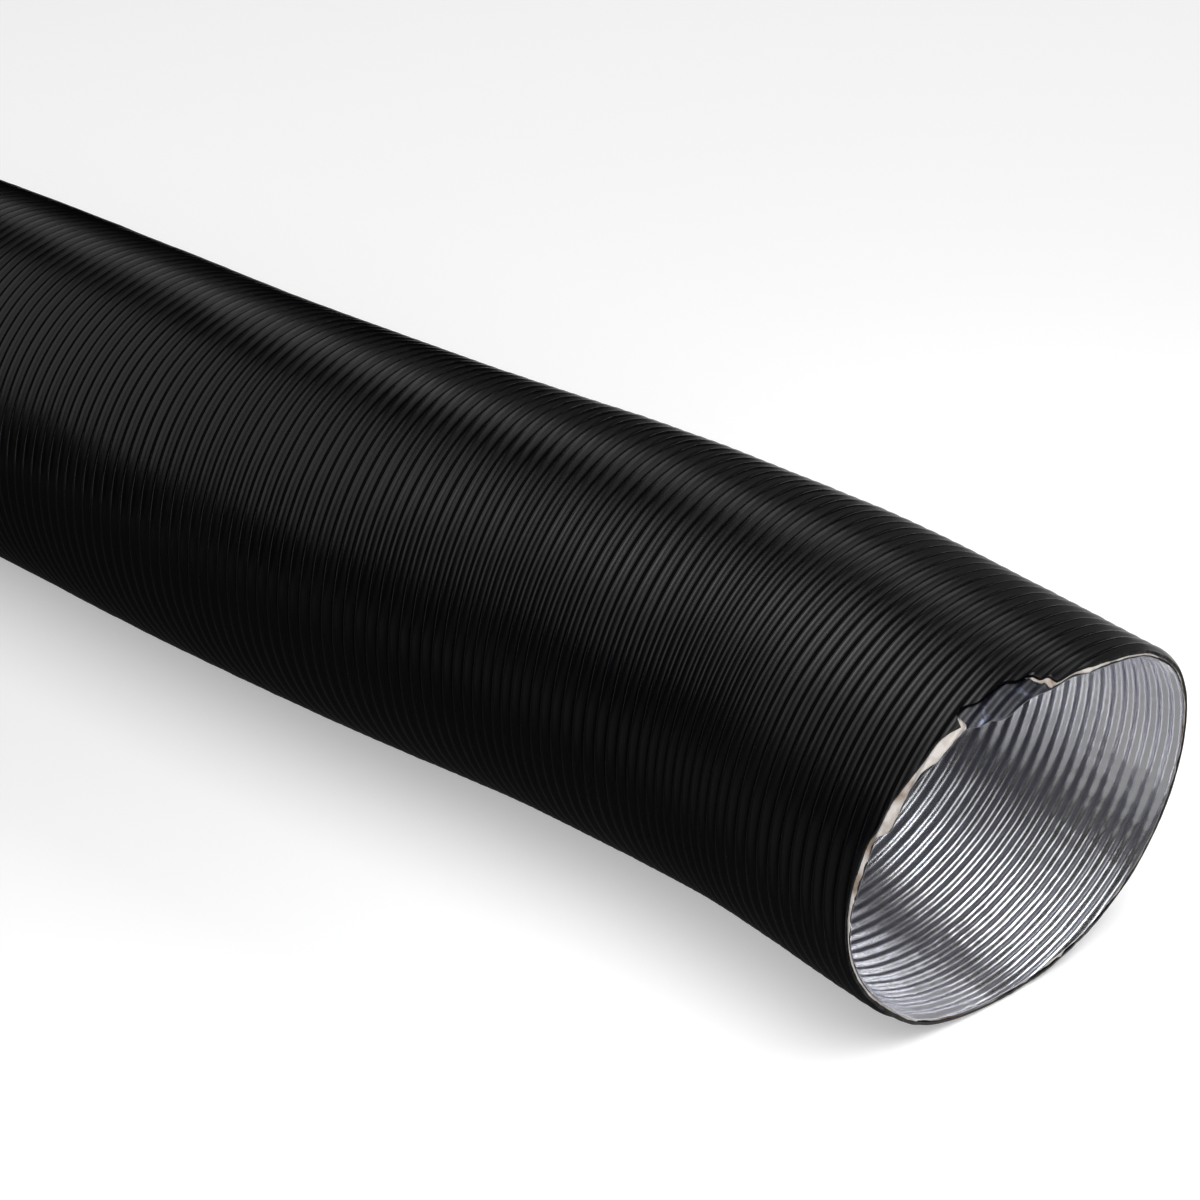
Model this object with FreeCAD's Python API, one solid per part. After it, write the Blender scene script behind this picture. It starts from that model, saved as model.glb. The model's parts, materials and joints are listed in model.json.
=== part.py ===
import FreeCAD, Part
import math
import os

# Flexible air duct
# A fine-ribbed duct for warm or cool air, drawn at its real size in millimetres.
# Its wall is three plies glued together: aluminium foil inside, kraft paper, and a black cover.
# The duct lies on a flat surface, gently bent in plan, with its slanted hand-cut mouth at +X.
# The origin is the middle of the mouth, +X points out of the bore and +Z is up.
# The real duct is one long tube that bends at every rib. Here rigid sleeves alternate with
# bellows, and each bellows is where the duct bends, lifts or stretches.

# Bore and wall
bore_diameter = 80.0
foil_wall = 0.12
paper_wall = 0.25
cover_wall = 0.60
glue_film = 0.04

# Ribs, each a narrow land at the crest and at the root with a sloping flank on both sides
rib_pitch = 2.75
rib_height = 0.95
crest_land = 0.65
root_land = 0.70

# Lengths, counted in ribs
mouth_ribs = 14
tail_ribs = 14
sleeve_ribs = 8
bellows_ribs = 10

# How the duct lies: the angle that each bellows turns by, from the mouth back, in plan
rest_turns = [8.6, 5.1, -2.4, -2.8, 0.4, 2.0, 3.5, 3.5, 2.5]

# How deep the ground presses the ribs flat
flat_depth = 0.50

# The mouth was cut by hand, so it slants, and the inner plies stand out a little past the cover
slant_sideways = 7.5
slant_upwards = 5.2
paper_show = 0.4
foil_show = 0.8

# The knife pressed the ribs that it went through lower, most of all on their mouth side
pressed_front = 0.65
pressed_back = 0.85

# Radii at the root of the ribs, from the bore outwards
foil_inside = bore_diameter / 2
foil_outside = foil_inside + foil_wall
paper_inside = foil_outside + glue_film
paper_outside = paper_inside + paper_wall
cover_inside = paper_outside + glue_film
cover_outside = cover_inside + cover_wall
crest_radius = cover_outside + rib_height

# The slanted mouth: the way its plane faces, and how many ribs it crosses on each side of the origin
slant_y = math.tan(math.radians(slant_sideways))
slant_z = math.tan(math.radians(slant_upwards))
mouth_facing = FreeCAD.Vector(1, -slant_y, -slant_z).normalize()
mouth_reach = crest_radius * math.hypot(slant_y, slant_z) + foil_show / mouth_facing.x
slant_ribs = math.ceil(mouth_reach / rib_pitch)

# A rib's profile: how far along the rib each circle stands, and how high it is on each kind of rib
flank = (rib_pitch - crest_land - root_land) / 2
rib_marks = [
    root_land / 2,
    root_land / 2 + flank,
    root_land / 2 + flank + crest_land,
    rib_pitch - root_land / 2,
]
whole_rib = [0, rib_height, rib_height, 0]
cut_rib = [0, pressed_front, pressed_back, 0]

UP = FreeCAD.Vector(0, 0, 1)

# How closely the sides and ends of a ply are sewn into one skin
seam_tolerance = 0.0001


def facing(heading):
    """The level direction that a heading in degrees stands for."""
    angle = math.radians(heading)
    return FreeCAD.Vector(math.cos(angle), math.sin(angle), 0)


def go_back(place, length, turn):
    """Where the centreline gets to, going back from a place along an arc that turns by an angle."""
    centre, heading = place
    half = math.radians(turn) / 2
    chord = length * math.sin(half) / half if half else length
    return centre - facing(heading + turn / 2) * chord, heading + turn


def circle(place, radius):
    """A circle square to the centreline, started at the top so that all the seams line up."""
    centre, heading = place
    ring = Part.Circle(centre, facing(heading), radius)
    ring.XAxis = UP
    return Part.Wire([ring.toShape()])


def rib_circles(place, ribs, turn, root_radius):
    """The circles that one side of a ply runs through, going back and turning by an angle in all."""
    length = len(ribs) * rib_pitch
    stations = [(0, 0)]
    for number, heights in enumerate(ribs):
        stations += [(number * rib_pitch + mark, height) for mark, height in zip(rib_marks, heights)]
    stations.append((length, 0))
    return [
        circle(go_back(place, along, turn * along / length), root_radius + height)
        for along, height in stations
    ]


def ribbed_tube(place, ribs, turn, inside, outside):
    """One ply of the wall over a list of ribs: its two ribbed sides and a flat ring at each end."""
    outer = rib_circles(place, ribs, turn, outside)
    inner = rib_circles(place, ribs, turn, inside)
    faces = Part.makeLoft(outer, False, True).Faces + Part.makeLoft(inner, False, True).Faces
    faces += [Part.Face([outer[end], inner[end]]) for end in (0, -1)]
    skin = Part.makeShell(faces)
    skin.sewShape()
    skin.fix(seam_tolerance, seam_tolerance, seam_tolerance)
    return Part.makeSolid(skin)


def beyond_mouth(show):
    """The space past the slanted cut, a given distance out of the mouth."""
    size = 6 * crest_radius
    block = Part.makeBox(size, size, size, FreeCAD.Vector(-size / 2, -size / 2, 0))
    block.Placement = FreeCAD.Placement(mouth_facing * show, FreeCAD.Rotation(UP, mouth_facing))
    return block


def ground():
    """The space under the flat that the ribs are pressed to."""
    reach = 2 * rib_pitch * sum(ribs for name, ribs, turn in runs)
    corner = FreeCAD.Vector(-reach, -reach, flat_depth - 2 * crest_radius)
    return Part.makeBox(2 * reach, 2 * reach, crest_radius, corner)


# Each ply: the radii of its two sides at the root of the ribs, and how far it shows at the mouth
plies = {
    "cover": (cover_inside, cover_outside, 0),
    "paper": (paper_inside, paper_outside, paper_show),
    "foil": (foil_inside, foil_outside, foil_show),
}

# The runs of the duct from the mouth back: a sleeve, a bellows, a sleeve and so on
runs = [("sleeve_01", mouth_ribs, 0)]
for number, rest_turn in enumerate(rest_turns, 1):
    runs.append((f"bellows_{number:02d}", bellows_ribs, rest_turn))
    runs.append((f"sleeve_{number + 1:02d}", sleeve_ribs, 0))
runs[-1] = (runs[-1][0], tail_ribs, 0)

os.makedirs("parts", exist_ok=True)
under_floor = ground()
start = (FreeCAD.Vector(0, 0, 0), 0)
for run_name, ribs, turn in runs:
    at_mouth = run_name == "sleeve_01"
    for ply, (inside, outside, show) in plies.items():
        if at_mouth:
            first_rib = (start[0] + facing(0) * slant_ribs * rib_pitch, 0)
            cut_and_whole = [cut_rib] * 2 * slant_ribs + [whole_rib] * (ribs - slant_ribs)
            wall = ribbed_tube(first_rib, cut_and_whole, turn, inside, outside)
            wall = wall.cut(beyond_mouth(show))
        else:
            wall = ribbed_tube(start, [whole_rib] * ribs, turn, inside, outside)
        if ply == "cover":
            wall = wall.cut(under_floor)
        wall.exportStep(f"parts/{ply}_{run_name}.step")
        sound = "sound" if wall.isValid() and len(wall.Solids) == 1 else "broken"
        print(f"{ply}_{run_name}: {wall.Volume:.1f} mm3, {len(wall.Faces)} faces, {sound}")
    start = go_back(start, ribs * rib_pitch, turn)

length = rib_pitch * sum(ribs for name, ribs, turn in runs)
print(f"length {length:.1f} mm, outside {2 * crest_radius:.1f} mm across the ribs")
print(f"tail centre {start[0]}, heading {start[1]:.1f} degrees")
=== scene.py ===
# %% [markdown]
# # A flexible air duct
# The real duct is one tube of three thin plies glued together: crumpled aluminium foil inside, a layer
# of kraft paper, and a black cover outside. Its wall is pressed into fine ribs that wind round it like a
# very shallow thread, and that ribbed wall is what bends, lifts and stretches.
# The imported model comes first: it says which bodies exist, where the joints are and how large it all is.

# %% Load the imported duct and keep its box
import json
import math

import bpy
import numpy as np
from mathutils import Matrix, Vector

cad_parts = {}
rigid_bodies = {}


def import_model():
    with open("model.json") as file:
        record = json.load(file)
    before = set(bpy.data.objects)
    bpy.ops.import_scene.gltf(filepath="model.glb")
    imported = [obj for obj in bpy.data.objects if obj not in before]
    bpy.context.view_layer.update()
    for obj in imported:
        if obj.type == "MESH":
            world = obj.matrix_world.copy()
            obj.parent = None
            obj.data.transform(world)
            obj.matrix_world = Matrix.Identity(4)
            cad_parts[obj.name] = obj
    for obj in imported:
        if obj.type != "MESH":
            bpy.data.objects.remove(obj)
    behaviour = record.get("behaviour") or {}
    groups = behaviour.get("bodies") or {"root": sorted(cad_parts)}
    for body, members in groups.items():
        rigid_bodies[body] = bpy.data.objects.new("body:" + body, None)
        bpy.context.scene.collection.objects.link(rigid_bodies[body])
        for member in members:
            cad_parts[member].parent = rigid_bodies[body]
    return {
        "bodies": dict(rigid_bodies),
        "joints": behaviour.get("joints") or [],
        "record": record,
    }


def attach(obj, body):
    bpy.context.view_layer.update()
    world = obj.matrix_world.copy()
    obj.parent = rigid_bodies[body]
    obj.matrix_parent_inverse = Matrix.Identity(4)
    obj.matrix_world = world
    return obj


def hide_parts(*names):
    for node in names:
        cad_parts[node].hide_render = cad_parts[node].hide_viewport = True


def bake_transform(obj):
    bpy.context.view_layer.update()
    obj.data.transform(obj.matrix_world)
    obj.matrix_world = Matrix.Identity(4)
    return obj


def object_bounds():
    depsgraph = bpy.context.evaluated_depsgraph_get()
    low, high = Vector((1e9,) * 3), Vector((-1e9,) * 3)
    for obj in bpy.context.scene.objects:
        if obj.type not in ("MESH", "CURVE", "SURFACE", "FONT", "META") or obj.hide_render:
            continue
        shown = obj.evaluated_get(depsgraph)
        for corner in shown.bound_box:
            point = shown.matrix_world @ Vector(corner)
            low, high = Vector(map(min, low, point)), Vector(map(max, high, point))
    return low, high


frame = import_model()
cad_low, cad_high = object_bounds()
print("the solids reach from", [round(x, 4) for x in cad_low], "to", [round(x, 4) for x in cad_high])

# %% [markdown]
# ## Sizes
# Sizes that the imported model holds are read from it: the bore and the size over the ribs come from its
# mounts, and the level of the ground from its box. The wall and the ribs repeat the solids' own values,
# in metres.

# %% Sizes of the wall and of the ribs
MM = 0.001
mount_radius = {mount["name"]: mount["dims"]["r_mm"] * MM for mount in frame["record"]["mounts"]}
bore_radius = mount_radius["mouth_bore"]
crest_radius = mount_radius["mouth_outside"]
ground_level = cad_low.z

foil_wall = 0.12 * MM
paper_wall = 0.25 * MM
cover_wall = 0.60 * MM
glue_film = 0.04 * MM
rib_pitch = 2.75 * MM
rib_height = 0.95 * MM
rib_starts = 5

foil_outside = bore_radius + foil_wall
paper_inside = foil_outside + glue_film
paper_outside = paper_inside + paper_wall
cover_inside = paper_outside + glue_film
cover_outside = cover_inside + cover_wall
print(f"root of the cover {cover_outside / MM:.2f} mm, crest {(cover_outside + rib_height) / MM:.2f} mm")

# %% Lengths, counted in ribs, and how far each bellows is bent at rest
mouth_ribs = 14
tail_ribs = 14
sleeve_ribs = 8
bellows_ribs = 10
rest_turns = [8.6, 5.1, -2.4, -2.8, 0.4, 2.0, 3.5, 3.5, 2.5]

run_starts = []
rib_count = mouth_ribs
for _ in rest_turns:
    run_starts.append(rib_count)
    rib_count += bellows_ribs + sleeve_ribs
rib_count += tail_ribs - sleeve_ribs
duct_length = rib_count * rib_pitch
print(rib_count, "ribs,", round(duct_length, 4), "m long")

# %% [markdown]
# ## The line down the middle
# The duct lies on the ground in a lazy curve. Its direction changes only where it is bent, so the line is
# made from its heading: the turns of the bellows are spread a little into the straight runs, as they are
# on the real tube, and the line is then stepped out backwards from the middle of the mouth.

# %% The middle line, from just ahead of the mouth to just past the tail
line_step = 1 * MM
line_ahead = 16 * MM
turn_spread = 14 * MM


def middle_line():
    """Points down the middle of the duct, a step apart, as an array."""
    marks = [0.0]
    turned = [0.0]
    for start, turn in zip(run_starts, rest_turns):
        marks += [start * rib_pitch, (start + bellows_ribs) * rib_pitch]
        turned += [turned[-1], turned[-1] + turn]
    steps = round((duct_length + 2 * line_ahead) / line_step)
    along = np.arange(steps + 1) * line_step - line_ahead
    window = round(turn_spread / line_step) | 1
    wide = np.pad(np.interp(along, marks, turned), window // 2, "edge")
    heading = np.radians(np.convolve(wide, np.ones(window) / window, "valid"))
    middle = (heading[1:] + heading[:-1]) / 2
    steps_back = np.stack([-np.cos(middle), -np.sin(middle)], 1) * line_step
    flat = np.concatenate([[[0.0, 0.0]], np.cumsum(steps_back, 0)])
    flat -= flat[round(line_ahead / line_step)]
    return along, np.column_stack([flat, np.zeros(len(flat))])


line_along, line_points = middle_line()
pivots = [joint["pos_m"] for joint in frame["joints"] if joint["type"] == "hinge"]
drift = max(np.linalg.norm(line_points - np.array(pivot), axis=1).min() for pivot in pivots)
print(f"the hinges' pivots lie within {drift / MM:.2f} mm of the middle line")

# %% The line as a mesh that the modifier can read
line_mesh = bpy.data.meshes.new("middle_line")
line_edges = [(point, point + 1) for point in range(len(line_points) - 1)]
line_mesh.from_pydata([tuple(point) for point in line_points], line_edges, [])
print("the middle line has", len(line_mesh.vertices), "points")

# %% [markdown]
# ## Building with nodes
# The wall follows a rule, so Geometry Nodes make it: a grid of small faces is wound along the ribs and
# placed by the rule, instead of being modelled by hand. These helpers keep the trees short.

# %% Helpers that add a node and wire it up


def feed(tree, target, value):
    """Links an output to this input, or sets the input to a plain value."""
    if isinstance(value, bpy.types.NodeSocket):
        tree.links.new(value, target)
    else:
        target.default_value = value


def add(tree, kind, feeds=(), **settings):
    """Adds a node, changes its settings, and feeds its inputs by name or number."""
    made = tree.nodes.new(kind)
    for name, value in settings.items():
        setattr(made, name, value)
    for name, value in dict(feeds).items():
        feed(tree, made.inputs[name], value)
    return made


def calc(tree, operation, *values):
    """A sum, product or other operation on numbers."""
    made = tree.nodes.new("ShaderNodeMath")
    made.operation = operation
    for target, value in zip(made.inputs, values):
        feed(tree, target, value)
    return made.outputs[0]


def new_tree(name, inputs, outputs):
    """An empty tree with named inputs and outputs, and its two end nodes."""
    tree = bpy.data.node_groups.new(name, "GeometryNodeTree")
    for title, kind, value in inputs:
        socket = tree.interface.new_socket(title, in_out="INPUT", socket_type=f"NodeSocket{kind}")
        if value is not None:
            socket.default_value = value
    for title, kind in outputs:
        tree.interface.new_socket(title, in_out="OUTPUT", socket_type=f"NodeSocket{kind}")
    return tree, tree.nodes.new("NodeGroupInput").outputs, tree.nodes.new("NodeGroupOutput").inputs


def use(tree, group, feeds):
    """Puts a finished tree into another one as a single node."""
    made = tree.nodes.new("GeometryNodeGroup")
    made.node_tree = group
    for name, value in feeds.items():
        feed(tree, made.inputs[name], value)
    return made.outputs


def follow_points(tree, factor, points, smooth=True):
    """A curve through a few (place, value) points, with the place running from 0 to 1."""
    made = add(tree, "ShaderNodeFloatCurve", {"Value": factor})
    mapping = made.mapping
    mapping.use_clip = False
    curve = mapping.curves[0]
    while len(curve.points) < len(points):
        curve.points.new(0.5, 0.5)
    for point, (place, value) in zip(curve.points, points):
        point.location = (place, value)
        point.handle_type = "AUTO" if smooth else "VECTOR"
    mapping.update()
    return made.outputs[0]


def mottle(tree, vector, scale, detail=2.0, rough=0.5):
    """Seamless noise from -1 to 1."""
    made = add(tree, "ShaderNodeTexNoise", {
        "Vector": vector, "Scale": scale, "Detail": detail, "Roughness": rough})
    return calc(tree, "MULTIPLY_ADD", made.outputs[0], 2.0, -1.0)


# %% [markdown]
# ## The hand-cut mouth
# The mouth wasn't cut square: its rim leans, wanders, and is torn near the top, where a strip of the cover
# is pulled away from the foil. One smooth curve round the duct gives the rim, and a second one says how far
# the torn cover stays back from it. Angles go from the side (+Y) over the top. Lengths are millimetres.

# %% The rim of the mouth, and the tear in the cover
rim_reach = [(-180, -5.3), (-150, -5.2), (-120, -3.5), (-90, -0.9), (-60, 1.6), (-30, 3.6), (0, 4.4),
             (20, 5.2), (40, 6.3), (58, 7.9), (74, 8.6), (88, 8.4), (98, 6.6), (113, 4.4), (122, 0.3),
             (132, -0.9), (143, -2.1), (151, -2.3), (157, -4.6), (168, -4.9), (180, -5.3)]
cover_tear = [(-180, 0.5), (-150, 0.2), (-110, 0.0), (40, 0.0), (60, 0.4), (97, 0.5), (101, 4.6), (108, 5.9),
              (115, 5.6), (119, 4.4), (121, 1.5), (130, 1.9), (140, 1.6), (151, 1.7), (156, 0.8), (180, 0.5)]
tree_units = 20.0


def mouth_edge_tree():
    """How far out the rim reaches at each angle round the duct."""
    tree, given, out = new_tree(
        "Mouth edge",
        [("On Tube", "Vector", (1.0, 0.0, 0.0)), ("Show", "Float", 0.0), ("Tear Share", "Float", 0.0),
         ("Tear Kept", "Float", 0.0), ("Fray", "Float", 0.0), ("Seed", "Float", 0.0)],
        [("Rim", "Float"), ("Edge", "Float")],
    )
    # The curve nodes take places and values between 0 and 1, so angles and lengths are scaled into that
    spot = add(tree, "ShaderNodeSeparateXYZ", {0: given["On Tube"]}).outputs
    share = calc(tree, "DIVIDE", calc(tree, "ARCTAN2", spot[1], spot[0]), 2 * math.pi)
    share = calc(tree, "ADD", share, 0.5)
    rim_points = [((angle + 180) / 360, 0.5 + reach / tree_units) for angle, reach in rim_reach]
    tear_points = [((angle + 180) / 360, 0.5 + depth / tree_units) for angle, depth in cover_tear]
    rim = calc(tree, "SUBTRACT", follow_points(tree, share, rim_points), 0.5)
    rim = calc(tree, "MULTIPLY", rim, tree_units * MM)
    tear = calc(tree, "SUBTRACT", follow_points(tree, share, tear_points, smooth=False), 0.5)
    tear = calc(tree, "MULTIPLY", tear, tree_units * MM)
    tear = calc(tree, "MAXIMUM", calc(tree, "SUBTRACT", tear, given["Tear Kept"]), 0.0)
    tear = calc(tree, "MULTIPLY", tear, given["Tear Share"])
    ring = add(tree, "ShaderNodeCombineXYZ", {"X": spot[0], "Y": spot[1], "Z": given["Seed"]}).outputs[0]
    fray = calc(tree, "MULTIPLY", mottle(tree, ring, 210.0, detail=4.0, rough=0.65), given["Fray"])
    edge = calc(tree, "ADD", calc(tree, "ADD", rim, given["Show"]), calc(tree, "SUBTRACT", fray, tear))
    feed(tree, out["Rim"], calc(tree, "MULTIPLY", rim, -1.0))
    feed(tree, out["Edge"], calc(tree, "MULTIPLY", edge, -1.0))
    return tree


mouth_edge = mouth_edge_tree()
print("the rim reaches from", min(r for _, r in rim_reach), "to", max(r for _, r in rim_reach), "mm")

# %% [markdown]
# ## A point on the wall
# Every point of the wall is known by how far along the duct it lies and how far round. This group turns the
# two into a place: out from the middle line by the radius, plus the rib's height, plus the small dents
# and uneven ribs of a wall that has been handled. All plies use the same group, so they nest in each other.

# %% The rule that places a point on the wall
dent_depth = 0.22 * MM
rib_unevenness = 0.10
curl_depth = 0.55 * MM
curl_reach = 2.4 * MM
# How fast the noise of the ribs, and of the creases, changes along the duct, where round it is 1
rib_noise_stretch = (1.0, 1.0, 6.0)
crease_stretch = (1.0, 1.0, 0.4)


def wall_place_tree():
    """The place of a point on the wall, from how far along and round the duct it is."""
    tree, given, out = new_tree(
        "Place on the wall",
        [("Line", "Geometry", None), ("On Tube", "Vector", (1.0, 0.0, 0.0)),
         ("Rim", "Float", 0.0), ("Radius", "Float", bore_radius), ("Crumple", "Float", 0.0)],
        [("Position", "Vector"), ("Crest", "Float")],
    )
    curve = add(tree, "GeometryNodeMeshToCurve", {"Mesh": given["Line"]}).outputs[0]
    ring = given["On Tube"]
    spot = add(tree, "ShaderNodeSeparateXYZ", {0: ring}).outputs
    along = spot[2]
    here = add(tree, "GeometryNodeSampleCurve", {
        "Curves": curve, "Length": calc(tree, "ADD", along, line_ahead),
    }, mode="LENGTH")
    around = calc(tree, "ARCTAN2", spot[1], spot[0])
    cosine = calc(tree, "COSINE", around)
    sine = calc(tree, "SINE", around)

    # The rib's height: a wave along the duct that shifts by a rib for each start in one turn
    turns = calc(tree, "MULTIPLY", around, rib_starts / (2 * math.pi))
    phase = calc(tree, "ADD", calc(tree, "DIVIDE", along, rib_pitch), turns)
    wave = calc(tree, "MULTIPLY", calc(tree, "PINGPONG", phase, 0.5), 2.0)
    crest = add(tree, "ShaderNodeMapRange", {"Value": wave, "From Min": 0.0, "From Max": 1.0},
                interpolation_type="SMOOTHSTEP").outputs[0]

    # Noise is read on the straightened tube, so that it doesn't break where the turn closes
    by_rib = add(tree, "ShaderNodeVectorMath", {0: ring, 1: rib_noise_stretch},
                 operation="MULTIPLY").outputs[0]
    dents = calc(tree, "MULTIPLY", mottle(tree, ring, 42.0, detail=2.0), dent_depth)
    uneven = calc(tree, "MULTIPLY_ADD", mottle(tree, by_rib, 60.0, detail=1.0), rib_unevenness, 1.0)
    height = calc(tree, "MULTIPLY", calc(tree, "MULTIPLY", crest, rib_height), uneven)

    # The foil's small creases only go inwards, so that they never cut into the ply outside it
    by_crease = add(tree, "ShaderNodeVectorMath", {0: ring, 1: crease_stretch},
                    operation="MULTIPLY").outputs[0]
    crumple = add(tree, "ShaderNodeTexNoise", {
        "Vector": by_crease, "Scale": 360.0, "Detail": 2.0}).outputs[0]
    crumple = calc(tree, "MULTIPLY", crumple, given["Crumple"])

    # Close to the rim the wall curls a little in and out
    inside = calc(tree, "DIVIDE", calc(tree, "SUBTRACT", given["Rim"], along), curl_reach)
    near_rim = calc(tree, "EXPONENT", calc(tree, "MINIMUM", inside, 1.0))
    curl = calc(tree, "MULTIPLY", mottle(tree, ring, 55.0, detail=1.0), curl_depth)
    curl = calc(tree, "MULTIPLY", curl, near_rim)

    radius = calc(tree, "ADD", calc(tree, "ADD", given["Radius"], height), calc(tree, "ADD", dents, curl))
    radius = calc(tree, "SUBTRACT", radius, crumple)
    side = add(tree, "ShaderNodeVectorMath", {0: here.outputs["Tangent"], 1: (0.0, 0.0, 1.0)},
               operation="CROSS_PRODUCT").outputs[0]
    side = add(tree, "ShaderNodeVectorMath", {0: side}, operation="NORMALIZE").outputs[0]
    sideways = add(tree, "ShaderNodeVectorMath", {
        0: side, "Scale": calc(tree, "MULTIPLY", radius, cosine)}, operation="SCALE").outputs[0]
    level = add(tree, "ShaderNodeVectorMath", {0: here.outputs["Position"], 1: sideways},
                operation="ADD").outputs[0]
    parts = add(tree, "ShaderNodeSeparateXYZ", {0: level}).outputs
    lifted = calc(tree, "MAXIMUM", calc(tree, "MULTIPLY", radius, sine), ground_level)
    place = add(tree, "ShaderNodeCombineXYZ", {"X": parts[0], "Y": parts[1], "Z": lifted}).outputs[0]
    feed(tree, out["Position"], place)
    feed(tree, out["Crest"], crest)
    return tree


wall_place = wall_place_tree()
print("the place's tree has", len(wall_place.nodes), "nodes")

# %% [markdown]
# ## One ply of the wall
# A flat grid of faces is wound round the duct. Its rows follow the ribs, so each rib keeps clean edges and
# the ply ends along a rib, where a seam can't be seen. A row comes back from its turn a few ribs further
# out, where it is merged with the row that starts there. Rows that would lie past the mouth or the tail are
# pulled back to the rim and merged too. The ply has an outer and an inner skin, and bands that are drawn
# from one to the other close it at both ends.

# %% The tree that makes a ply


def named(tree, name, kind="FLOAT"):
    """Reads a value that was stored under a name."""
    return add(tree, "GeometryNodeInputNamedAttribute", {"Name": name}, data_type=kind).outputs[0]


def store(tree, geometry, name, value, domain="POINT", kind="FLOAT"):
    """Stores a value on the geometry under a name."""
    made = add(tree, "GeometryNodeStoreNamedAttribute", {"Geometry": geometry, "Name": name, "Value": value},
               data_type=kind, domain=domain)
    return made.outputs[0]


def drop(tree, geometry, *names):
    """Removes stored values that the finished mesh has no use for."""
    for name in names:
        geometry = add(tree, "GeometryNodeRemoveAttribute", {"Geometry": geometry, "Name": name}).outputs[0]
    return geometry


merge_distance = 0.004 * MM

# A ply ends along a rib, halfway up its flank, where the surface is straight and a seam doesn't show.
# Where that seam has gone once round, it steps back by a few ribs: underneath, and high up in the bore.
cover_seam_turn = -0.25
lining_seam_turn = 0.35
seam_shift = 0.5


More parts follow.
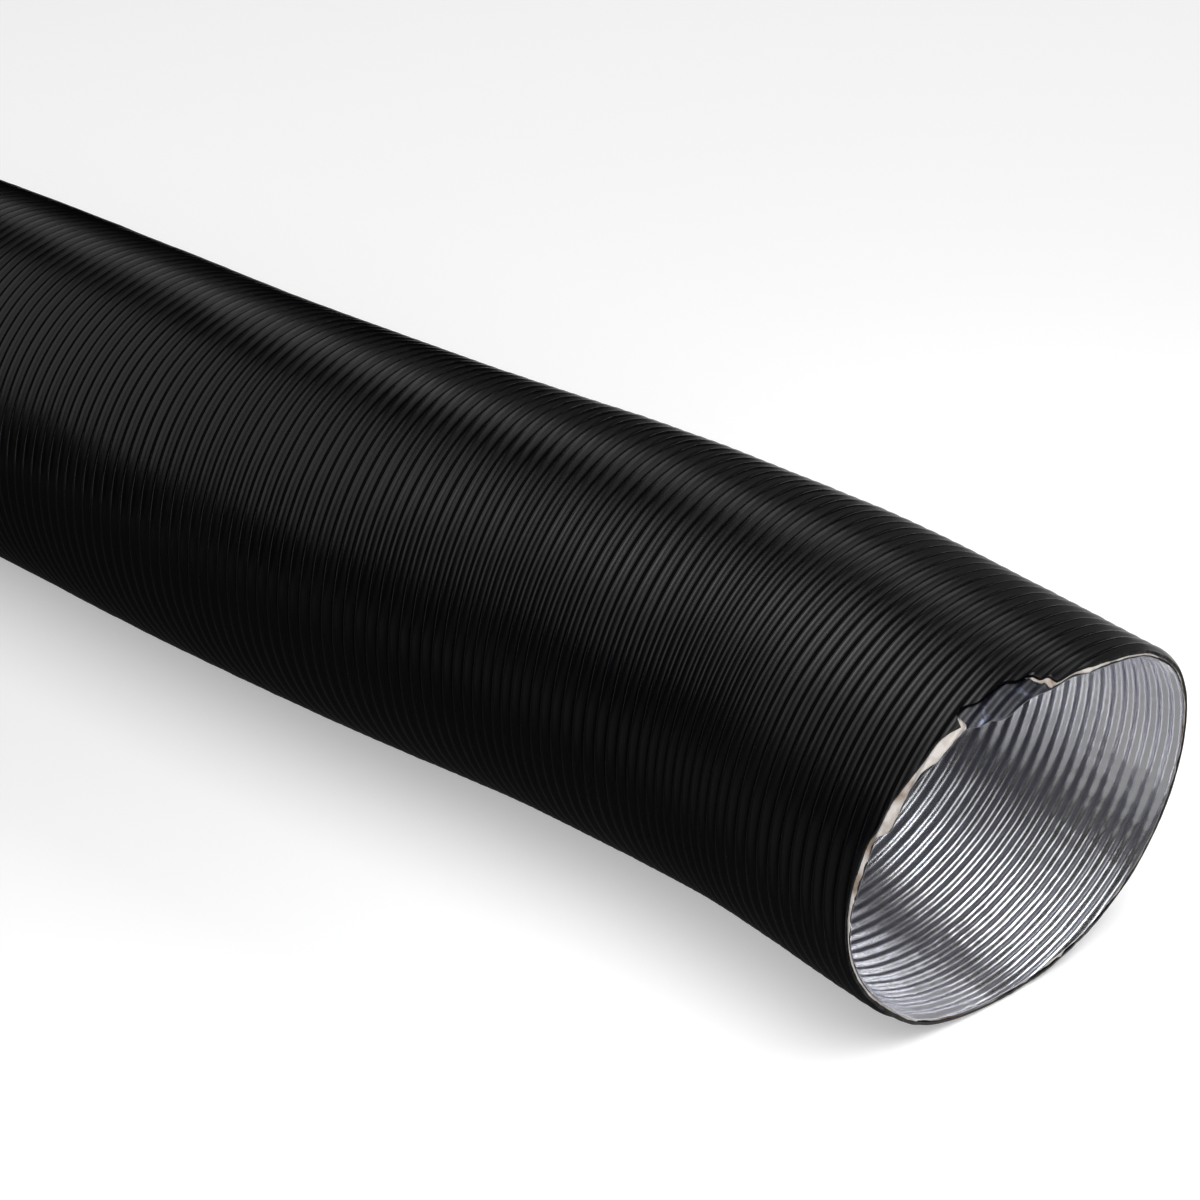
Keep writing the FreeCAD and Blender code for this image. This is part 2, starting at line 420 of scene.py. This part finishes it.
def ply_tree():
    """A ply over some ribs: two ribbed skins and the bands that close its ends."""
    tree, given, out = new_tree(
        "Ribbed ply",
        [("Line", "Geometry", None), ("First Rib", "Int", 0), ("Ribs", "Int", 8), ("Rows per Rib", "Int", 8),
         ("Columns", "Int", 120), ("Seam Turn", "Float", 0.0), ("Inner Radius", "Float", bore_radius),
         ("Outer Radius", "Float", crest_radius), ("Crumple", "Float", 0.0), ("Show", "Float", 0.0),
         ("Tear Share", "Float", 0.0), ("Tear Kept", "Float", 0.0), ("Fray", "Float", 0.0),
         ("Seed", "Float", 0.0), ("Outer Finish", "Material", None), ("Inner Finish", "Material", None),
         ("Cut Finish", "Material", None)],
        [("Geometry", "Geometry")],
    )
    rows = calc(tree, "MULTIPLY", given["Ribs"], given["Rows per Rib"])
    grid = add(tree, "GeometryNodeMeshGrid", {
        "Size X": 1.0, "Size Y": 1.0,
        "Vertices X": calc(tree, "ADD", rows, 1.0),
        "Vertices Y": calc(tree, "ADD", given["Columns"], 1.0),
    }).outputs[0]
    flat = add(tree, "ShaderNodeSeparateXYZ", {0: add(tree, "GeometryNodeInputPosition").outputs[0]}).outputs
    row_share = calc(tree, "ADD", flat[0], 0.5)
    turn_share = calc(tree, "ADD", flat[1], 0.5)

    # A row follows its rib once round the tube, and is a few ribs further out when it comes back
    around = calc(tree, "MULTIPLY", calc(tree, "ADD", turn_share, given["Seam Turn"]), 2 * math.pi)
    ring = add(tree, "ShaderNodeCombineXYZ", {
        "X": calc(tree, "MULTIPLY", calc(tree, "COSINE", around), crest_radius),
        "Y": calc(tree, "MULTIPLY", calc(tree, "SINE", around), crest_radius),
    }).outputs[0]
    edge_sizes = {"Show": given["Show"], "Tear Share": given["Tear Share"], "Tear Kept": given["Tear Kept"],
                  "Fray": given["Fray"], "Seed": given["Seed"]}
    mouth = use(tree, mouth_edge, {"On Tube": ring, **edge_sizes})
    ribs_back = calc(tree, "MULTIPLY_ADD", row_share, given["Ribs"], given["First Rib"])
    ribs_back = calc(tree, "SUBTRACT", ribs_back, calc(tree, "MULTIPLY", turn_share, rib_starts))
    along = calc(tree, "MULTIPLY", calc(tree, "ADD", ribs_back, seam_shift), rib_pitch)
    tail = calc(tree, "ADD", duct_length, given["Show"])
    along = calc(tree, "MINIMUM", calc(tree, "MAXIMUM", along, mouth["Edge"]), tail)
    on_tube = add(tree, "ShaderNodeVectorMath", {
        0: ring, 1: add(tree, "ShaderNodeCombineXYZ", {"Z": along}).outputs[0]}, operation="ADD").outputs[0]
    wound = store(tree, grid, "on_tube", on_tube, kind="FLOAT_VECTOR")

    def place(radius):
        on_tube = named(tree, "on_tube", "FLOAT_VECTOR")
        return use(tree, wall_place, {
            "Line": given["Line"], "On Tube": on_tube, "Radius": radius, "Crumple": given["Crumple"],
            "Rim": use(tree, mouth_edge, {"On Tube": on_tube})["Rim"],
        })

    outer = add(tree, "GeometryNodeSetPosition", {
        "Geometry": wound, "Position": place(given["Outer Radius"])["Position"]}).outputs[0]
    outer = add(tree, "GeometryNodeMergeByDistance", {
        "Geometry": outer, "Distance": merge_distance}).outputs[0]
    inner = add(tree, "GeometryNodeSetPosition", {
        "Geometry": wound, "Position": place(given["Inner Radius"])["Position"]}).outputs[0]
    inner = add(tree, "GeometryNodeMergeByDistance", {
        "Geometry": inner, "Distance": merge_distance}).outputs[0]
    inner = add(tree, "GeometryNodeFlipFaces", {"Mesh": inner}).outputs[0]
    inner = store(tree, inner, "is_inner", True, domain="FACE", kind="BOOLEAN")

    # The bands: the outer skin's open edges, drawn in to the inner skin
    neighbours = add(tree, "GeometryNodeInputMeshEdgeNeighbors").outputs[0]
    is_open = add(tree, "FunctionNodeCompare", {2: neighbours, 3: 1},
                  data_type="INT", operation="EQUAL").outputs[0]
    drawn = add(tree, "GeometryNodeExtrudeMesh", {"Mesh": outer, "Selection": is_open, "Offset Scale": 0.0},
                mode="EDGES")
    closed = add(tree, "GeometryNodeSetPosition", {
        "Geometry": drawn.outputs["Mesh"], "Selection": drawn.outputs["Top"],
        "Position": place(given["Inner Radius"])["Position"]}).outputs[0]
    closed = store(tree, closed, "is_cut", drawn.outputs["Side"], domain="FACE", kind="BOOLEAN")
    both = add(tree, "GeometryNodeJoinGeometry").inputs[0]
    tree.links.new(closed, both)
    tree.links.new(inner, both)
    ply = add(tree, "GeometryNodeMergeByDistance", {
        "Geometry": both.node.outputs[0], "Distance": merge_distance}).outputs[0]

    is_cut = named(tree, "is_cut", "BOOLEAN")
    is_inner = named(tree, "is_inner", "BOOLEAN")
    ply = store(tree, ply, "crest", place(given["Outer Radius"])["Crest"])
    # Smooth skins, and sharp edges where they meet the bands
    ply = add(tree, "GeometryNodeSetShadeSmooth", {0: ply, "Shade Smooth": True}).outputs[0]
    ply = add(tree, "GeometryNodeSetShadeSmooth", {0: ply, "Selection": is_cut, "Shade Smooth": False},
              domain="EDGE").outputs[0]
    ply = add(tree, "GeometryNodeRealizeInstances", {"Geometry": ply}).outputs[0]
    ply = add(tree, "GeometryNodeSetMaterial", {
        "Geometry": ply, "Material": given["Outer Finish"]}).outputs[0]
    ply = add(tree, "GeometryNodeSetMaterial", {
        "Geometry": ply, "Selection": is_inner, "Material": given["Inner Finish"]}).outputs[0]
    ply = add(tree, "GeometryNodeSetMaterial", {
        "Geometry": ply, "Selection": is_cut, "Material": given["Cut Finish"]}).outputs[0]
    ply = drop(tree, ply, "is_inner", "is_cut")
    feed(tree, out["Geometry"], ply)
    return tree


ribbed_ply = ply_tree()
print("the ply's tree has", len(ribbed_ply.nodes), "nodes")

# %% [markdown]
# ## Finishes
# The cover is a coated ply: almost black, so nearly all that is seen of it is the gloss on its ribs; its
# crests are painted a touch lighter, partly scuffing and partly a painted glint. The paper is brown kraft
# that tears pale along its fibres. The foil is bare metal, so its look comes from what it mirrors, broken up
# by crumples and by fine creases along the duct. Its outer side was glued to the paper, and where the cover
# is torn away it shows dull blue-black patches, a painted dark reflection, with bare metal between. Each
# colour and roughness is driven by noise, because a flat value would look like plastic. Noise is read in the
# object's own coordinates, or on the straightened tube, so it moves with the wall.

# %% Helpers for the finishes


def new_finish(name):
    """A material with its shader, and its tree emptied of anything else."""
    finish = bpy.data.materials.new(name)
    finish.use_nodes = True
    tree = finish.node_tree
    shader = tree.nodes["Principled BSDF"]
    return finish, tree, shader


# %% Black cover


def black_cover_finish():
    """Coated black ply, near black: dull between its ribs, polished on their crests, and a touch lighter
    there from scuffs and a painted glint.
    """
    finish, tree, shader = new_finish("black_cover")
    place = add(tree, "ShaderNodeTexCoord").outputs["Object"]
    crest = add(tree, "ShaderNodeAttribute", attribute_name="crest").outputs["Fac"]
    patches = add(tree, "ShaderNodeTexNoise", {"Vector": place, "Scale": 45.0, "Detail": 4.0,
                                               "Roughness": 0.6}).outputs[0]
    # The crests are painted a touch lighter: partly scuffing, partly a painted glint along the ribs.
    crest_scuff_and_painted_glint = calc(tree, "MULTIPLY", calc(tree, "POWER", crest, 3.0), patches)
    colour = add(tree, "ShaderNodeMix", {0: crest_scuff_and_painted_glint, "A": (0.0010, 0.0009, 0.0015, 1),
                                         "B": (0.0030, 0.0030, 0.0038, 1)}, data_type="RGBA")
    feed(tree, shader.inputs["Base Color"], colour.outputs["Result"])
    rough = add(tree, "ShaderNodeMapRange", {"Value": patches, "From Min": 0.3, "From Max": 0.7,
                                             "To Min": 0.20, "To Max": 0.28}).outputs[0]
    valley = add(tree, "ShaderNodeMapRange", {"Value": crest, "From Min": 0.35, "From Max": 0.7,
                                              "To Min": 0.12, "To Max": 0.0}).outputs[0]
    feed(tree, shader.inputs["Roughness"], calc(tree, "ADD", rough, valley))
    shader.inputs["Specular IOR Level"].default_value = 0.25
    grain = add(tree, "ShaderNodeTexNoise", {"Vector": place, "Scale": 1100.0, "Detail": 3.0}).outputs[0]
    bump = add(tree, "ShaderNodeBump", {"Strength": 0.2, "Distance": 0.06 * MM, "Height": grain})
    feed(tree, shader.inputs["Normal"], bump.outputs[0])
    return finish


black_cover = black_cover_finish()
print(black_cover.name, "has", len(black_cover.node_tree.nodes), "nodes")

# %% Kraft paper


def kraft_paper_finish():
    """Brown kraft paper with fibres, bleached and torn white here and there."""
    finish, tree, shader = new_finish("kraft_paper")
    place = add(tree, "ShaderNodeTexCoord").outputs["Object"]
    fibres = add(tree, "ShaderNodeTexNoise", {"Vector": place, "Scale": 900.0, "Detail": 4.0,
                                              "Roughness": 0.7}).outputs[0]
    patches = add(tree, "ShaderNodeTexNoise", {"Vector": place, "Scale": 160.0, "Detail": 3.0}).outputs[0]
    torn = add(tree, "ShaderNodeMapRange", {"Value": patches, "From Min": 0.36, "From Max": 0.52}).outputs[0]
    brown = add(tree, "ShaderNodeMix", {0: fibres, "A": (0.12, 0.08, 0.06, 1),
                                        "B": (0.46, 0.37, 0.30, 1)}, data_type="RGBA").outputs["Result"]
    colour = add(tree, "ShaderNodeMix", {0: torn, "A": brown, "B": (0.64, 0.60, 0.57, 1)},
                 data_type="RGBA").outputs["Result"]
    feed(tree, shader.inputs["Base Color"], colour)
    shader.inputs["Roughness"].default_value = 0.9
    bump = add(tree, "ShaderNodeBump", {"Strength": 0.9, "Distance": 0.2 * MM, "Height": fibres})
    feed(tree, shader.inputs["Normal"], bump.outputs[0])
    return finish


kraft_paper = kraft_paper_finish()
print(kraft_paper.name, "has", len(kraft_paper.node_tree.nodes), "nodes")

# %% Aluminium foil


def foil_finish():
    """Bright foil, crumpled, with fine wrinkles that run along the duct across the ribs."""
    finish, tree, shader = new_finish("aluminium_foil")
    on_tube = add(tree, "ShaderNodeAttribute", attribute_name="on_tube").outputs["Vector"]
    stretched = add(tree, "ShaderNodeVectorMath", {0: on_tube, 1: (1.0, 1.0, 0.22)},
                    operation="MULTIPLY").outputs[0]
    wrinkles = add(tree, "ShaderNodeTexNoise", {"Vector": stretched, "Scale": 620.0, "Detail": 3.0,
                                                "Roughness": 0.6}).outputs[0]
    dents = add(tree, "ShaderNodeTexNoise", {"Vector": on_tube, "Scale": 240.0, "Detail": 2.0}).outputs[0]
    height = calc(tree, "ADD", calc(tree, "MULTIPLY", wrinkles, 0.6), calc(tree, "MULTIPLY", dents, 0.6))
    bump = add(tree, "ShaderNodeBump", {"Strength": 0.22, "Distance": 0.25 * MM, "Height": height})
    feed(tree, shader.inputs["Normal"], bump.outputs[0])
    tint = add(tree, "ShaderNodeTexNoise", {"Vector": on_tube, "Scale": 38.0, "Detail": 2.0}).outputs[0]
    colour = add(tree, "ShaderNodeMix", {0: tint, "A": (0.80, 0.81, 0.89, 1), "B": (0.92, 0.92, 0.93, 1)},
                 data_type="RGBA").outputs["Result"]
    feed(tree, shader.inputs["Base Color"], colour)
    shader.inputs["Metallic"].default_value = 1.0
    rough = add(tree, "ShaderNodeMapRange", {"Value": wrinkles, "From Min": 0.3, "From Max": 0.7,
                                             "To Min": 0.25, "To Max": 0.27}).outputs[0]
    feed(tree, shader.inputs["Roughness"], rough)
    return finish


aluminium_foil = foil_finish()
print(aluminium_foil.name, "has", len(aluminium_foil.node_tree.nodes), "nodes")

# %% The foil's glued side


def foil_back_finish():
    """The outer side of the foil, bared where the cover is torn: dull, in blue-black patches that are a
    painted dark reflection, with bare metal between.
    """
    finish, tree, shader = new_finish("foil_back_painted_dark")
    on_tube = add(tree, "ShaderNodeAttribute", attribute_name="on_tube").outputs["Vector"]
    dark_patch_noise = add(tree, "ShaderNodeTexNoise", {"Vector": on_tube, "Scale": 420.0, "Detail": 4.0,
                                              "Roughness": 0.6}).outputs[0]
    bare = add(tree, "ShaderNodeMapRange", {"Value": dark_patch_noise, "From Min": 0.56, "From Max": 0.70}).outputs[0]
    # Blue-black where the noise is low is a painted dark reflection; bare metal shows where it is high.
    colour = add(tree, "ShaderNodeMix", {0: bare, "A": (0.008, 0.009, 0.016, 1), "B": (0.13, 0.14, 0.19, 1)},
                 data_type="RGBA").outputs["Result"]
    feed(tree, shader.inputs["Base Color"], colour)
    feed(tree, shader.inputs["Metallic"], bare)
    shader.inputs["Roughness"].default_value = 0.42
    bump = add(tree, "ShaderNodeBump", {"Strength": 0.6, "Distance": 0.15 * MM, "Height": dark_patch_noise})
    feed(tree, shader.inputs["Normal"], bump.outputs[0])
    return finish


foil_back_painted_dark = foil_back_finish()
print(foil_back_painted_dark.name, "has", len(foil_back_painted_dark.node_tree.nodes), "nodes")

# %% [markdown]
# ## The pieces
# The plies of the mouth and the tail are made one by one, since their cut edges are seen: cover, paper and
# foil. Between the two ends the paper is always hidden behind the foil, so one closed lining stands for
# both. A run reaches from the middle of one sleeve to the middle of the next, with the bellows in between,
# so every seam lies on a stiff sleeve. The runs stay unattached, and the ends ride on one body.

# %% Makes one piece and turns it into a plain mesh
socket_ids = {item.name: item.identifier for item in ribbed_ply.interface.items_tree
              if item.in_out == "INPUT"}
print("a ply is told", ", ".join(socket_ids).lower())


def make_ply(name, slot, **sizes):
    """One ply over some ribs, as a plain mesh."""
    piece = bpy.data.objects.new(name, line_mesh.copy())
    bpy.context.scene.collection.objects.link(piece)
    modifier = piece.modifiers.new("ribs", "NODES")
    modifier.node_group = ribbed_ply
    for title, value in sizes.items():
        modifier[socket_ids[title]] = value
    bpy.context.view_layer.update()
    finished = bpy.data.meshes.new_from_object(piece.evaluated_get(bpy.context.evaluated_depsgraph_get()))
    piece.modifiers.clear()
    piece.data = finished
    finished.name = name
    return piece


foil_crumple = 0.42 * MM
ply_settings = {
    "cover": {"Seam Turn": cover_seam_turn, "Inner Radius": cover_inside, "Outer Radius": cover_outside,
              "Show": 0.1 * MM, "Tear Share": 1.0, "Fray": 0.3 * MM, "Seed": 1.0},
    "paper": {"Seam Turn": lining_seam_turn, "Inner Radius": paper_inside, "Outer Radius": paper_outside,
              "Show": -0.1 * MM, "Tear Share": 3.0, "Tear Kept": 2.6 * MM, "Fray": 0.8 * MM, "Seed": 2.0},
    "foil": {"Seam Turn": lining_seam_turn, "Inner Radius": bore_radius, "Outer Radius": foil_outside,
             "Show": -0.05 * MM, "Crumple": foil_crumple, "Fray": 0.3 * MM, "Seed": 3.0},
    "lining": {"Seam Turn": lining_seam_turn, "Inner Radius": bore_radius, "Outer Radius": paper_outside,
               "Crumple": foil_crumple},
}
finishes = {
    "cover": (black_cover, black_cover, black_cover),
    "paper": (kraft_paper, kraft_paper, kraft_paper),
    "foil": (foil_back_painted_dark, aluminium_foil, aluminium_foil),
    "lining": (kraft_paper, aluminium_foil, kraft_paper),
}
slots = {
    "cover": "black_cover",
    "paper": "kraft_paper",
    "foil": "aluminium_foil",
    "lining": "aluminium_foil",
}


def build(ply, where, first_rib, ribs, columns):
    """One ply of one stretch of the duct."""
    outer, inner, cut = finishes[ply]
    return make_ply(f"{ply}_{where}", slots[ply], **{
        "First Rib": first_rib, "Ribs": ribs, "Columns": columns,
        "Outer Finish": outer, "Inner Finish": inner, "Cut Finish": cut, **ply_settings[ply]})


# %% Mouth and tail
seam_ribs = mouth_ribs - sleeve_ribs // 2 - 1
spare_ribs = 4
mouth_columns, tail_columns, run_columns = 360, 240, 120
bodies = list(frame["bodies"])
made = []
for ply in ("cover", "paper", "foil"):
    piece = build(ply, "mouth", -spare_ribs, spare_ribs + seam_ribs, mouth_columns)
    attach(piece, bodies[0])
    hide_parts(f"{ply}_sleeve_01")
    made.append(piece)
tail_seam = rib_count - mouth_ribs + seam_ribs
for ply in ("cover", "paper", "foil"):
    piece = build(ply, "tail", tail_seam, rib_count - tail_seam + rib_starts + 1, tail_columns)
    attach(piece, bodies[-1])
    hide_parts(f"{ply}_sleeve_10")
    made.append(piece)
print("at the two ends:", [piece.name for piece in made])

# %% The runs between
seam_past_bellows = 6
inner_seams = [start + bellows_ribs + seam_past_bellows for start in run_starts[:-1]]
seams = [seam_ribs] + inner_seams + [tail_seam]


def on_line(along):
    """The point of the middle line at a distance back from the mouth."""
    return Vector([float(np.interp(along, line_along, line_points[:, axis])) for axis in range(3)])


for number, start in enumerate(run_starts):
    first, last = seams[number], seams[number + 1]
    for ply, covers in (("cover", ["cover"]), ("lining", ["paper", "foil"])):
        piece = build(ply, f"run_{number + 1:02d}", first, last - first, run_columns)
        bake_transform(piece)
        names = [f"{kind}_bellows_{number + 1:02d}" for kind in covers]
        names += [f"{kind}_sleeve_{side:02d}" for kind in covers for side in (number + 1, number + 2)]
        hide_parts(*names)
        made.append(piece)

triangles = 0
for piece in made:
    piece.data.calc_loop_triangles()
    count = len(piece.data.loop_triangles)
    triangles += count
    print(piece.name, len(piece.data.vertices), "points", count, "triangles")
print("in all", triangles)

# %% [markdown]
# ## Floor, light and camera
# The duct is seen on plain white, from above and in front of its mouth. A pale floor keeps the soft shadow,
# and far from the duct it brightens to the white of the background. A wide soft light overhead draws the
# broad glint along the ribs, a narrow one behind edges the far side, and a small one with a narrow beam
# lights the bore. A black shiny thing is shaped by what it mirrors, so dark cards stand round it, as a
# photographer would place them. Only gloss sees the cards.

# %% Helpers for flat stage pieces and for surfaces that the camera sees as plain white


def flat_sheet(name, corners, finish):
    """A flat stage piece with four corners."""
    mesh = bpy.data.meshes.new(name)
    mesh.from_pydata([tuple(corner) for corner in corners], [], [(0, 1, 2, 3)])
    mesh.materials.append(finish)
    sheet = bpy.data.objects.new(name, mesh)
    bpy.context.scene.collection.objects.link(sheet)
    return sheet


def seen_plainly(tree):
    """1 for the camera's own rays and for those that gloss reflects, and 0 for the light that falls."""
    rays = add(tree, "ShaderNodeLightPath").outputs
    seen = calc(tree, "ADD", rays["Is Camera Ray"], rays["Is Glossy Ray"])
    seen = calc(tree, "ADD", seen, rays["Is Transmission Ray"])
    return calc(tree, "MINIMUM", seen, 1.0)


# %% Floor
floor_white = 0.80
floor_lift = 0.35
floor_half = 4.0
floor_gap = 0.2 * MM
fade_start, fade_end = 0.9, 1.8
floor_finish, tree, shader = new_finish("floor_finish")
shader.inputs["Base Color"].default_value = (floor_white, floor_white, floor_white, 1)
shader.inputs["Roughness"].default_value = 1.0
shader.inputs["Specular IOR Level"].default_value = 0.0
shader.inputs["Emission Color"].default_value = (1, 1, 1, 1)
away = add(tree, "ShaderNodeVectorMath", {0: add(tree, "ShaderNodeTexCoord").outputs["Object"]},
           operation="LENGTH").outputs["Value"]
lift = add(tree, "ShaderNodeMapRange", {
    "Value": away, "From Min": fade_start, "From Max": fade_end, "To Min": floor_lift, "To Max": 1.0,
}, interpolation_type="SMOOTHSTEP").outputs[0]
feed(tree, shader.inputs["Emission Strength"], calc(tree, "MULTIPLY", seen_plainly(tree), lift))
floor_level = ground_level - floor_gap
floor_corners = [(-floor_half, -floor_half), (floor_half, -floor_half),
                 (floor_half, floor_half), (-floor_half, floor_half)]
flat_sheet("floor", [(x, y, floor_level) for x, y in floor_corners], floor_finish)
print("the floor lies", round((ground_level - floor_level) / MM, 2), "mm under the duct")

# %% Camera
camera_turn = math.radians(47.52)
camera_tilt = math.radians(33.66)
mouth_in_view = Vector((0.07788, 0.04323, 0.45778))
level_ahead = Vector((-math.sin(camera_turn), math.cos(camera_turn), 0.0))
view_right = Vector((math.cos(camera_turn), math.sin(camera_turn), 0.0))
view_ahead = level_ahead * math.cos(camera_tilt) - Vector((0, 0, math.sin(camera_tilt)))
view_up = view_right.cross(view_ahead)
camera_place = -(view_right * mouth_in_view.x - view_up * mouth_in_view.y + view_ahead * mouth_in_view.z)
camera_data = bpy.data.cameras.new("camera")
camera = bpy.data.objects.new("camera", camera_data)
bpy.context.scene.collection.objects.link(camera)
camera_data.lens = 74.77
camera_data.sensor_width = 36.0
camera_data.clip_start = 0.01
turned = Matrix((view_right, view_up, -view_ahead)).transposed()
camera.matrix_world = Matrix.Translation(camera_place) @ turned.to_4x4()
bpy.context.scene.camera = camera
print("the camera stands at", [round(x, 3) for x in camera_place])

# %% Lights
middle = on_line(0.12)
heading = on_line(0.10) - on_line(0.14)
heading.normalize()
level_side = Vector((-heading.y, heading.x, 0.0))


def softbox(name, angle, distance, width, length, strength, lean=0.0, over=None, spread=180):
    """A soft light over the duct, at an angle round it in degrees, from its far side over the top."""
    over = middle if over is None else over
    lamp_data = bpy.data.lights.new(name, "AREA")
    lamp_data.shape = "RECTANGLE"
    lamp_data.size = length
    lamp_data.size_y = width
    lamp_data.energy = strength * math.pi * width * length
    lamp_data.spread = math.radians(spread)
    lamp = bpy.data.objects.new(name, lamp_data)
    lamp.visible_camera = False
    bpy.context.scene.collection.objects.link(lamp)
    turn = math.radians(angle)
    towards = level_side * math.cos(turn) + Vector((0, 0, 1)) * math.sin(turn) + heading * lean
    towards.normalize()
    across = heading.cross(towards).normalized()
    along = towards.cross(across).normalized() * -1
    lamp.matrix_world = Matrix.Translation(over + towards * distance) @ Matrix((
        along, across * -1, towards)).transposed().to_4x4()
    return lamp


softbox("key_light", 115, 1.1, 1.7, 1.4, 1.5, lean=0.05)
softbox("far_strip", 48, 1.1, 0.30, 1.4, 2.0, lean=0.1)
in_the_mouth = Vector((0.0, 0.0, -0.03))
softbox("mouth_light", 100, 0.30, 0.40, 0.14, 0.72, lean=0.36, over=in_the_mouth, spread=60)

# %% Dark cards that only gloss sees, as black screens round a shiny object in a studio


def dark_card(name, corners, level=0.0):
    """A black or grey screen that shows in reflections alone, and takes no light from the floor."""
    finish, tree, shader = new_finish(name)
    shader.inputs["Base Color"].default_value = (0, 0, 0, 1)
    shader.inputs["Roughness"].default_value = 1.0
    shader.inputs["Specular IOR Level"].default_value = 0.0
    shader.inputs["Emission Color"].default_value = (1, 1, 1, 1)
    shader.inputs["Emission Strength"].default_value = level
    card = flat_sheet(name, corners, finish)
    card.visible_camera = False
    card.visible_diffuse = False
    card.visible_shadow = False
    card.visible_transmission = False
    return card


def at(along, side, up):
    """A point by how far it is out along the duct, to its far side and up from its middle."""
    return middle + heading * along + level_side * side + Vector((0, 0, up))


foot, head = -0.04, 2.0
near_foot, near_head = -1.0, -2.5
far_foot, far_head = 1.0, 1.6
end_foot, end_head = 1.6, 2.2
card_reach, far_split = 3.0, 0.2
grey_level = 0.28

dark_card("card_above", [at(-card_reach, near_head, head), at(card_reach, near_head, head),
                         at(card_reach, far_head, head), at(-card_reach, far_head, head)])
dark_card("card_near", [at(-card_reach, near_foot, foot), at(card_reach, near_foot, foot),
                        at(card_reach, near_head, head), at(-card_reach, near_head, head)])
dark_card("card_far", [at(-card_reach, far_foot, foot), at(far_split, far_foot, foot),
                       at(far_split, far_head, head), at(-card_reach, far_head, head)])
dark_card("card_far_front", [at(far_split, far_foot, foot), at(card_reach, far_foot, foot),
                             at(card_reach, far_head, head), at(far_split, far_head, head)],
          level=grey_level)
for name, side in (("card_front", 1), ("card_back", -1)):
    dark_card(name, [at(side * end_foot, near_head, foot), at(side * end_foot, far_head, foot),
                     at(side * end_head, far_head, head), at(side * end_head, near_head, head)])

# On the floor: a dark card along the near side, and a grey one in front of the mouth
card_height = ground_level + 0.1 * MM
floor_card_reach = 1.2
mouth_gap = 0.008
inner_edge = [on_line(along) for along in (0.004, 0.50)]
outer_edge = [point - level_side * floor_card_reach for point in reversed(inner_edge)]
near_corners = [(point.x, point.y, card_height) for point in inner_edge + outer_edge]
dark_card("card_floor_near", near_corners, level=0.09)
front_corners = [(mouth_gap, -floor_card_reach), (floor_card_reach, -floor_card_reach),
                 (floor_card_reach, floor_card_reach), (mouth_gap, floor_card_reach)]
dark_card("card_floor_front", [(x, y, card_height) for x, y in front_corners], level=0.30)

# %% World: white to the camera and to gloss, and a weak even light for the rest
world = bpy.data.worlds.new("studio")
bpy.context.scene.world = world
world.use_nodes = True
tree = world.node_tree
fill_level = 0.15
strength = calc(tree, "MULTIPLY_ADD", seen_plainly(tree), 1 - fill_level, fill_level)
feed(tree, tree.nodes["Background"].inputs["Strength"], strength)
tree.nodes["Background"].inputs["Color"].default_value = (1, 1, 1, 1)
bpy.context.scene.view_settings.view_transform = "Standard"
print("fill light", fill_level, "of white")
